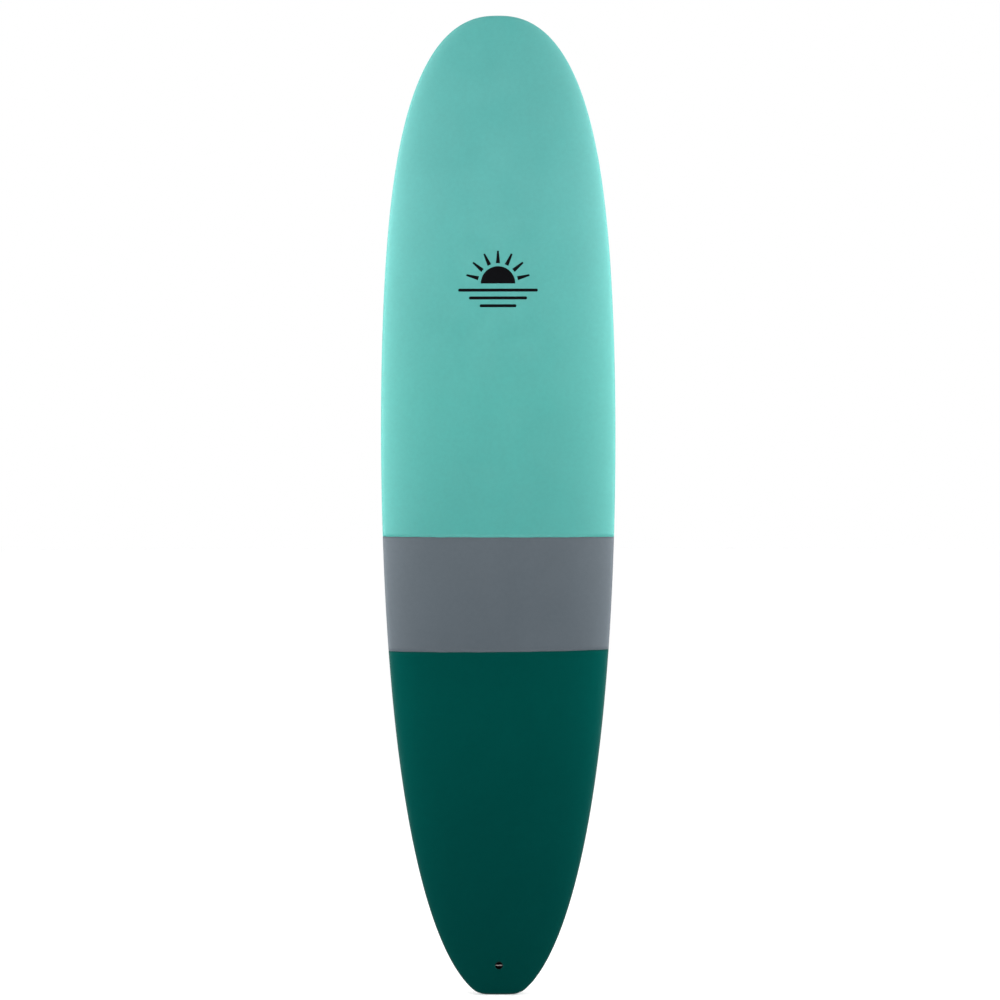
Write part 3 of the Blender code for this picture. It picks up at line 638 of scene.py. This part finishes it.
def quarter_round(count):
    """Shares of a quarter round's depth, from 0 to 1, close together at its start."""
    return [1 - math.cos(0.5 * math.pi * k / count) for k in range(count + 1)]


LAP_END = LENGTH - LAP
while lap_line(np.array(LAP_END)) <= 0:
    LAP_END -= 0.00005

ROW_PITCH = 0.009
NOSE_DENSE = 0.40  # length at the nose whose rows close up towards the tip
NOSE_COUNT = 90
LAP_NEAR = (0.0, 0.0003, 0.0008, 0.0016, 0.0028, 0.0045)  # extra rows before the lap line ends
EDGE_CLEAR = 0.0015  # rows keep this far from the tail's rounded edge,
LAP_CLEAR = 0.002  # this far from the lap line
CORNER_CLEAR = 0.003  # and this far from the end of its corner
FINE_PITCH = 0.004

edge_rows = [TAIL_EDGE * share for share in quarter_round(8)]
corner_rows = [LAP + LAP_CORNER * share for share in quarter_round(12)[1:]]
tip_rows = [LENGTH - NOSE_DENSE * (1 - k / NOSE_COUNT) ** 2.2 for k in range(1, NOSE_COUNT + 1)]

tail_rows = edge_rows + steps(TAIL_EDGE + EDGE_CLEAR, LAP - LAP_CLEAR, FINE_PITCH) + [LAP] + corner_rows
tail_rows += steps(LAP + LAP_CORNER + CORNER_CLEAR, GREEN_TO_GREY, ROW_PITCH)
band_rows = steps(GREEN_TO_GREY, GREY_TO_AQUA, ROW_PITCH)
nose_rows = steps(GREY_TO_AQUA, LENGTH - NOSE_DENSE, ROW_PITCH) + tip_rows
nose_rows = sorted(nose_rows + [LAP_END - d for d in LAP_NEAR])


def deck_panel(name, rows, lines, mat, node, cap=False):
    """One colour panel of the deck laminate."""
    bm = bmesh.new()
    points = hull_points(panel_heights(rows, lines))
    verts = grid_faces(bm, points)
    if cap:
        bm.faces.new(verts[0])
    tidy(bm)
    bmesh.ops.recalc_face_normals(bm, faces=bm.faces)
    deck_side = min(bm.faces, key=lambda f: f.calc_center_median().y)
    if deck_side.normal.y > 0:
        bmesh.ops.reverse_faces(bm, faces=bm.faces)
    obj = finish_mesh(name, bm, None, mat, 50.0)
    shell(obj, PANEL)
    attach(obj, "board")
    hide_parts(node)
    return obj


green_at = (GREEN_TO_GREY, GREEN_LINE)
aqua_at = (GREY_TO_AQUA, AQUA_LINE)
deck_panel("deck_panel_aqua", nose_rows, [aqua_at], aqua, "deck_skin_nose")
deck_panel("deck_panel_grey", band_rows, [green_at, aqua_at], grey, "deck_skin_band")
tail_panel = deck_panel("deck_panel_green", tail_rows, [green_at], green, "deck_skin_tail", True)

plug_frame = Matrix.Translation((0, float(deck_height(0.0, PLUG_Z)), PLUG_Z))
plug_tool = tool_prism(circle_outline(PLUG_RIM_R + 0.00005), plug_frame, -0.01, 0.006)
cut(tail_panel, [plug_tool])


# ---- bottom laminate ---------------------------------------------------------------------------
def bottom_slope(z):
    """Angle of the bottom to the Z axis."""
    return math.atan(float(rocker(z - 0.05) - rocker(z + 0.05)) / 0.1)


def local_frame(x, z, slope, toe, lean):
    """Frame of a fin box: its Y out of the bottom, its Z along the board."""
    spot = (x, float(bottom_height(x, z)), z)
    aim = Matrix.Rotation(-slope, 4, "X") @ Matrix.Rotation(toe, 4, "Y")
    return Matrix.Translation(spot) @ (aim @ Matrix.Rotation(lean, 4, "Z"))


def side_lean():
    """Sideways slope angle of the bottom at the side fins."""
    wide = float(half_width(SIDE_Z))
    share = SIDE_X / wide
    height = APEX * float(thickness(SIDE_Z))
    steep = share ** (BOTTOM_POWER - 1) * (1 - share**BOTTOM_POWER) ** (1 / BOTTOM_POWER - 1)
    return math.atan(height / wide * steep)


centre_frame = local_frame(0.0, BOX_Z, bottom_slope(BOX_Z), 0.0, 0.0)
side_frames = {}
fin_frames = {}
for side, sign in (("left", -1), ("right", 1)):
    lean = -sign * side_lean()
    base = local_frame(sign * SIDE_X, SIDE_Z, bottom_slope(SIDE_Z), -sign * SIDE_TOE, lean)
    side_frames[side] = base
    fin_frames[side] = base @ Matrix.Rotation(-sign * SIDE_CANT, 4, "Z")


def bottom_panel():
    """The field inside the lap line, with holes for the three fin boxes."""
    rows = [LAP - LAP_UNDER, LAP] + corner_rows
    rows += steps(LAP + LAP_CORNER + CORNER_CLEAR, LENGTH - NOSE_DENSE, ROW_PITCH) + tip_rows
    rows = [z for z in rows if z < LAP_END - 0.006]
    rows += [LAP_END - d for d in (*reversed(LAP_NEAR), -LAP_UNDER)]
    z = np.array(rows)[:, None]
    turn = np.sin(0.5 * math.pi * np.linspace(-1, 1, 73))[None, :]
    x = (lap_line(z) + LAP_UNDER) * turn
    z = np.repeat(z, x.shape[1], axis=1)
    bm = bmesh.new()
    grid_faces(bm, np.stack([x, bottom_height(x, z, LAP_STEP), z], axis=-1))
    tidy(bm)
    bmesh.ops.recalc_face_normals(bm, faces=bm.faces)
    if sum(f.normal.y for f in bm.faces) < 0:
        bmesh.ops.reverse_faces(bm, faces=bm.faces)
    obj = finish_mesh("bottom_panel", bm, None, bottom_material(), 50.0)
    shell(obj, BOTTOM_PANEL)
    tools = []
    for size, place in ((BOX_FLANGE, centre_frame), *((SIDE_BOX, f) for f in side_frames.values())):
        outline = stadium_outline(size[0] + GAP, size[1] + GAP)
        tools.append(tool_prism(outline, place, -0.02, 0.02))
    cut(obj, tools)
    for tool in tools:
        bpy.data.objects.remove(tool)
    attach(obj, "board")
    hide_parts("bottom_skin")
    return obj


bottom_panel()
bpy.data.objects.remove(plug_tool)


# ---- emblem on the deck: a half sun over three bars --------------------------------------------
EMBLEM_Z = 1.7760
SUN_R = 0.0430
RAYS = 7
RAY_GAP = 0.0075
RAY_LENGTH = 0.0310
RAY_WIDTH = 0.0100
BARS = (0.200, 0.146, 0.092)
BAR_HEIGHT = 0.0074
BAR_DROP = 0.0165  # from the sun's flat side to the first bar
BAR_PITCH = 0.0195
INK = 0.00010  # thickness
INK_PROUD = 0.00012  # how far its face stands off the deck


def decal_patch(bm, outline_at, rows, cols):
    """A thin raised patch that follows the deck; outline_at(u, v) gives x, z for u, v in 0..1."""
    tops = np.zeros((rows, cols, 3))
    for i, u in enumerate(np.linspace(0, 1, rows)):
        for j, v in enumerate(np.linspace(0, 1, cols)):
            x, z = outline_at(u, v)
            tops[i, j] = (x, float(deck_height(x, z)) - INK_PROUD, z)
    grid_faces(bm, tops)


def half_disc(u, v):
    angle = math.pi * v
    radius = SUN_R * (0.02 + 0.98 * u)
    return radius * math.cos(angle), EMBLEM_Z + radius * math.sin(angle)


def ray(angle, start, length, width):
    """A tapered ray out from the sun."""

    def at(u, v):
        along = start + length * u
        across = width * (1 - 0.55 * u) * (v - 0.5)
        x = along * math.cos(angle) - across * math.sin(angle)
        return x, EMBLEM_Z + along * math.sin(angle) + across * math.cos(angle)

    return at


def bar(length, height, centre):
    """A bar with rounded ends."""

    def at(u, v):
        x = length * (u - 0.5)
        end = max(abs(x) - (length - height) / 2, 0.0) / (height / 2)
        half = height / 2 * math.sqrt(max(1 - end**2, 0.0))
        return x, centre + half * (2 * v - 1)

    return at


def emblem():
    bm = bmesh.new()
    decal_patch(bm, half_disc, 14, 49)
    for k in range(RAYS):
        angle = math.radians(15 + 150 * k / (RAYS - 1))
        decal_patch(bm, ray(angle, SUN_R + RAY_GAP, RAY_LENGTH, RAY_WIDTH), 8, 5)
    for k, length in enumerate(BARS):
        decal_patch(bm, bar(length, BAR_HEIGHT, EMBLEM_Z - BAR_DROP - BAR_PITCH * k), 97, 5)
    tidy(bm)
    bmesh.ops.recalc_face_normals(bm, faces=bm.faces)
    for face in bm.faces:
        if face.normal.y > 0:
            face.normal_flip()
    obj = finish_mesh("deck_emblem", bm, None, ink_material(), 50.0)
    shell(obj, INK)
    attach(obj, "board")
    return obj


emblem()


# ---- leash plug --------------------------------------------------------------------------------
def lathe(bm, profile, matrix, sides=112):
    """Body of revolution about the frame's Y, from a closed profile of (radius, height)."""
    angles = np.linspace(0, 2 * math.pi, sides, endpoint=False)
    rings = np.array([[(r * math.cos(a), h, r * math.sin(a)) for a in angles] for r, h in profile])
    before = set(bm.verts)
    grid_faces(bm, rings, wrap=True)
    fresh = [v for v in bm.verts if v not in before]
    bmesh.ops.transform(bm, matrix=matrix, verts=fresh)
    return fresh


CUP_R = 0.0125
CUP_DEPTH = 0.0160
CUP_FLOOR = 0.0140
CUP_CORNER = 0.002
CUP_CHAMFER = 0.0015
SHOULDER = 0.0024  # depth at which the cup widens, under the deck laminate
SHOULDER_BEVEL = 0.0003
CREST_R = 0.0091
CREST_WIDE = 0.0003
CREST_HIGH = 0.0004
CREST_FOOT = 0.0003
BAR_CHAMFER = 0.0004
BAR_SOFTEN = 0.0001


def leash_cup():
    """Moulded cup: rounded rim, straight wall, soft corner to the floor."""
    outward = plug_frame @ Matrix.Rotation(math.pi, 4, "Z")
    profile = [(0.0, -0.0138)]
    profile += [(r, -CUP_FLOOR) for r in (0.002, 0.004, 0.0055, 0.0068)]
    for k in range(1, 7):
        a = 0.5 * math.pi * k / 6
        radius = PLUG_BORE_R - CUP_CORNER + CUP_CORNER * math.sin(a)
        profile.append((radius, CUP_CORNER - CUP_FLOOR - CUP_CORNER * math.cos(a)))
    profile += [(PLUG_BORE_R, -0.0080), (PLUG_BORE_R, -0.0030), (PLUG_BORE_R + 0.00002, -0.0010)]
    for k in range(1, 9):
        a = math.pi * k / 9
        profile.append((CREST_R - CREST_WIDE * math.cos(a), CREST_HIGH * math.sin(a) - CREST_FOOT))
    profile += [(PLUG_RIM_R, -0.0010), (PLUG_RIM_R, -SHOULDER)]
    profile += [(CUP_R - SHOULDER_BEVEL, -SHOULDER), (CUP_R, -SHOULDER - SHOULDER_BEVEL)]
    profile += [(CUP_R, CUP_CHAMFER - CUP_DEPTH), (CUP_R - CUP_CHAMFER, -CUP_DEPTH), (0.0, -CUP_DEPTH)]
    bm = bmesh.new()
    lathe(bm, profile, outward)
    tidy(bm)
    bmesh.ops.recalc_face_normals(bm, faces=bm.faces)
    plastic = moulded("cup_plastic", (0.004, 0.004, 0.0045), 0.50, 2200.0, 0.00002, 0.12)
    obj = finish_mesh("leash_cup", bm, "board", plastic, 35.0)
    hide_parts("leash_plug_cup")


def leash_bar():
    """Turned steel bar with chamfered ends."""
    low, high = BAR_BOX
    radius = (high.z - low.z) / 2
    centre = (low + high) / 2
    half = (high.x - low.x) / 2
    end = [(0.0, 0.0), (radius - BAR_CHAMFER, 0.0)]
    end += [(radius - BAR_SOFTEN, BAR_SOFTEN), (radius, BAR_CHAMFER)]
    profile = [(r, inwards - half) for r, inwards in end]
    profile += [(radius, x) for x in np.linspace(-half + 0.002, half - 0.002, 20)]
    profile += [(r, half - inwards) for r, inwards in reversed(end)]
    bm = bmesh.new()
    lathe(bm, profile, Matrix.Translation(centre) @ Matrix.Rotation(-math.pi / 2, 4, "Z"), 64)
    tidy(bm)
    bmesh.ops.recalc_face_normals(bm, faces=bm.faces)
    steel = metal("bar_steel", (0.33, 0.30, 0.285), 0.34, (2600.0, 120.0, 120.0), 0.35)
    obj = finish_mesh("leash_bar", bm, "board", steel, 35.0)
    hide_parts("leash_plug_bar")


leash_cup()
leash_bar()


# ---- fins --------------------------------------------------------------------------------------
CENTRE_FIN = dict(base=0.152, depth=0.178, thick=0.0074, foot=-0.003, flat=0)
SIDE_FIN = dict(base=0.104, depth=0.092, thick=0.0062, foot=0.0007)
# lowest and highest corners of the tabs, in the frame of the fin's box
CENTRE_BLOCKS = [
    ((-0.0038, -0.0170, -0.0760), (0.0038, -0.0010, 0.0750)),  # base in the slot
    ((-0.0037, -0.0080, 0.0700), (0.0037, -0.0032, 0.0920)),  # tongue under the screw's head
]
SIDE_BLOCKS = [
    ((-0.0025, -0.0125, 0.019), (0.0025, 0.0013, 0.041)),  # front tab
    ((-0.0025, -0.0125, -0.041), (0.0025, 0.0013, -0.019)),  # rear tab
]


def foil(bm, matrix, base, depth, thick, foot, flat):
    """Raked, foiled blade; flat is the side left nearly plane, +1 or -1, or 0 for neither."""
    around = 0.5 * (1 + np.cos(np.linspace(0, math.pi, 44)))
    heights = 1 - (1 - np.linspace(0, 1, 72)) ** 1.7
    heights = np.append(heights[:-1], 0.9995)
    rings = []
    for s in heights:
        lead = base * (0.5 - 0.99 * s**1.75 - 0.08 * s)
        chord = base * (1 - 0.62 * s**0.9) * math.sqrt(max(1 - s**7, 0.0))
        here = thick * (1 - 0.55 * s) * min(1.0, 0.35 + chord / (0.3 * base))
        y = foot + (depth - foot) * s
        # the thickness law of a four-digit aerofoil section
        shape = 1.4845 * np.sqrt(around) - 0.63 * around - 1.758 * around**2
        shape = shape + 1.4215 * around**3 - 0.5075 * around**4
        half = here * shape + 0.00035 * np.clip(around / 0.02, 0, 1)
        right = half * (1 - 0.65 * flat)
        left = half * (1 + 0.65 * flat)
        z = lead - chord * around
        ring = [(a, y, b) for a, b in zip(right, z)]
        ring += [(-a, y, b) for a, b in zip(left[-2::-1], z[-2::-1])]
        rings.append(ring)
    before = set(bm.verts)
    verts = grid_faces(bm, np.array(rings), wrap=True)
    bm.faces.new(verts[0])
    bm.faces.new(verts[-1])
    fresh = [v for v in bm.verts if v not in before]
    bmesh.ops.transform(bm, matrix=matrix, verts=fresh)


def soft_block(bm, matrix, low, high, radius=0.0006):
    """A block with rounded edges, as a separate island."""
    before = set(bm.verts)
    made = bmesh.ops.create_cube(bm, size=1.0)["verts"]
    low, high = Vector(low), Vector(high)
    size = high - low
    bmesh.ops.transform(
        bm, matrix=Matrix.Translation((low + high) / 2) @ Matrix.Diagonal((*size, 1)), verts=made
    )
    edges = list({e for v in made for e in v.link_edges})
    bmesh.ops.bevel(bm, geom=edges, offset=radius, segments=3, profile=0.5, affect="EDGES")
    fresh = [v for v in bm.verts if v not in before]
    bmesh.ops.transform(bm, matrix=matrix, verts=fresh)


def build_fin(name, matrix, shape, blocks, body, node, mat):
    """Blade and tabs of one fin."""
    bm = bmesh.new()
    foil(bm, matrix, **shape)
    for low, high in blocks:
        soft_block(bm, matrix, low, high)
    tidy(bm, 1e-7)
    bmesh.ops.recalc_face_normals(bm, faces=bm.faces)
    obj = finish_mesh(name, bm, body, mat, 38.0)
    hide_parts(node)


nylon = fin_material("fin_nylon")
build_fin(
    "centre_fin_blade",
    centre_frame @ Matrix.Translation((0, 0, FIN_SHIFT)),
    CENTRE_FIN,
    CENTRE_BLOCKS,
    "centre_fin_body",
    "centre_fin",
    nylon,
)
for side, sign in (("left", -1), ("right", 1)):
    build_fin(
        f"side_fin_blade_{side}",
        fin_frames[side],
        dict(SIDE_FIN, flat=sign),
        SIDE_BLOCKS,
        f"side_fin_{side}_body",
        f"side_fin_{side}",
        nylon,
    )

# ---- CAD pieces carried over -------------------------------------------------------------------
box_plastic = moulded("box_plastic", (0.022, 0.022, 0.024), 0.50)
grub_steel = metal("grub_steel", (0.42, 0.42, 0.42), 0.34, (300.0, 2600.0, 300.0))
foam = foam_material()
CARRIED = {
    "foam_core_left": foam,
    "foam_core_right": foam,
    "stringer": wood_material(),
    "centre_fin_box": box_plastic,
    "side_fin_box_left": box_plastic,
    "side_fin_box_right": box_plastic,
    "centre_fin_pin": metal("pin_brass", (0.74, 0.54, 0.26), 0.32, (2200.0, 150.0, 150.0)),
    "centre_fin_plate": metal("plate_steel", (0.56, 0.56, 0.55), 0.34, (200.0, 200.0, 2400.0)),
    "centre_fin_screw": metal("screw_steel", (0.62, 0.62, 0.61), 0.28, (300.0, 2600.0, 300.0)),
}
for place in ("left_front", "left_rear", "right_front", "right_rear"):
    CARRIED[f"side_fin_screw_{place}"] = grub_steel
for node, mat in CARRIED.items():
    obj = frame["nodes"][node]
    obj.data.materials.clear()
    obj.data.materials.append(mat)
    obj.data.shade_smooth()
    obj.data.set_sharp_from_angle(angle=math.radians(30))

# ---- floor -------------------------------------------------------------------------------------
FLOOR_R = 60.0
FLOOR_Z = -0.0004


def floor():
    """Pale studio floor that the tail end stands on."""
    bm = bmesh.new()
    angles = np.linspace(0, 2 * math.pi, 96, endpoint=False)
    radii = [0.0, 0.5, 1.5, 4.0, 12.0, FLOOR_R]
    rings = np.array([[(r * math.cos(a), r * math.sin(a), FLOOR_Z) for a in angles] for r in radii])
    grid_faces(bm, rings, wrap=True)
    tidy(bm)
    bmesh.ops.recalc_face_normals(bm, faces=bm.faces)
    n = Nodes("studio_floor", (0.80, 0.80, 0.80), 0.9)
    n.shader.inputs["Specular IOR Level"].default_value = 0.0
    n.shader.inputs["Emission Color"].default_value = (1, 1, 1, 1)
    n.shader.inputs["Emission Strength"].default_value = 0.25
    grit = n.noise(30.0, 3.0)
    n.paint(n.mix(n.span(grit, 0.3, 0.7), (0.79, 0.79, 0.79), (0.81, 0.81, 0.81)))
    obj = finish_mesh("studio_floor", bm, None, n.mat, None)


floor()

# ---- light: a white room, dark before and behind so that the rails stand out --------------------
ROOM = 1.22  # the world's strength above the board and at its sides
DIM = 0.90  # share of it that is missing straight before and behind


def world():
    """White to the camera; as a light, dim before and behind the board, bright at its sides."""
    made = bpy.data.worlds.new("studio")
    bpy.context.scene.world = made
    made.use_nodes = True
    tree = made.node_tree
    tree.nodes.clear()
    new = tree.nodes.new

    def number(operation, a, b):
        node = new("ShaderNodeMath")
        node.operation = operation
        for socket, value in zip(node.inputs, (a, b)):
            if isinstance(value, (int, float)):
                socket.default_value = value
            else:
                tree.links.new(value, socket)
        return node.outputs[0]

    coords = new("ShaderNodeTexCoord")
    split = new("ShaderNodeSeparateXYZ")
    tree.links.new(coords.outputs["Generated"], split.inputs[0])
    depth = number("MULTIPLY", split.outputs["Y"], split.outputs["Y"])
    strength = number("ADD", number("MULTIPLY", depth, -DIM * ROOM), ROOM)
    lit = new("ShaderNodeBackground")
    seen = new("ShaderNodeBackground")
    seen.inputs["Strength"].default_value = 1.0
    lit.inputs["Color"].default_value = (1.0, 1.0, 1.0, 1)
    seen.inputs["Color"].default_value = (1.0, 1.0, 1.0, 1)
    tree.links.new(strength, lit.inputs["Strength"])
    path = new("ShaderNodeLightPath")
    mix = new("ShaderNodeMixShader")
    tree.links.new(path.outputs["Is Camera Ray"], mix.inputs[0])
    tree.links.new(lit.outputs[0], mix.inputs[1])
    tree.links.new(seen.outputs[0], mix.inputs[2])
    out = new("ShaderNodeOutputWorld")
    tree.links.new(mix.outputs[0], out.inputs["Surface"])


world()


BOARD_MIDDLE = (0, 0, 1.25)


def soft_light(name, spot, aim, size, power):
    """A large area light; power is in watts."""
    data = bpy.data.lights.new(name, "AREA")
    data.shape = "RECTANGLE"
    data.size, data.size_y = size
    data.energy = power
    obj = bpy.data.objects.new(name, data)
    bpy.context.scene.collection.objects.link(obj)
    obj.location = spot
    obj.rotation_mode = "QUATERNION"
    obj.rotation_quaternion = (Vector(aim) - Vector(spot)).to_track_quat("-Z", "Y")
    obj.visible_camera = False
    return obj


for side, sign in (("left", -1), ("right", 1)):
    # a strip almost level with the deck, which only the rails turn towards
    strip = soft_light(f"{side}_strip", (sign * 3.4, -0.25, 1.5), BOARD_MIDDLE, (0.9, 3.8), 96)
    strip.visible_glossy = False
    # a wide box seen only as a reflection, so that the gloss grows towards the rails
    box = soft_light(f"{side}_box", (sign * 2.95, -2.7, 2.2), BOARD_MIDDLE, (4.2, 5.0), 117)
    box.visible_diffuse = False
    # a panel level with the rails, seen only as a reflection, which whitens their very edge
    panel = soft_light(f"{side}_panel", (sign * 3.3, 0.5, 1.4), BOARD_MIDDLE, (2.2, 5.0), 64)
    panel.visible_diffuse = False
soft_light("rear_bank", (1.6, 3.6, 3.2), (0, 0, 1.0), (2.0, 2.0), 15)

# ---- camera ------------------------------------------------------------------------------------
LENS = 92.99
EYE = (0.0042, -6.460, 1.2354)
ROLL = 0.0014  # the board leans slightly in the picture
camera = bpy.data.cameras.new("camera")
camera.sensor_width = 36.0
camera.lens = LENS
camera_object = bpy.data.objects.new("camera", camera)
bpy.context.scene.collection.objects.link(camera_object)
camera_object.location = EYE
camera_object.rotation_euler = (math.radians(90), ROLL, 0)
bpy.context.scene.camera = camera_object

bpy.context.scene.view_settings.view_transform = "Standard"
bpy.context.scene.view_settings.look = "None"
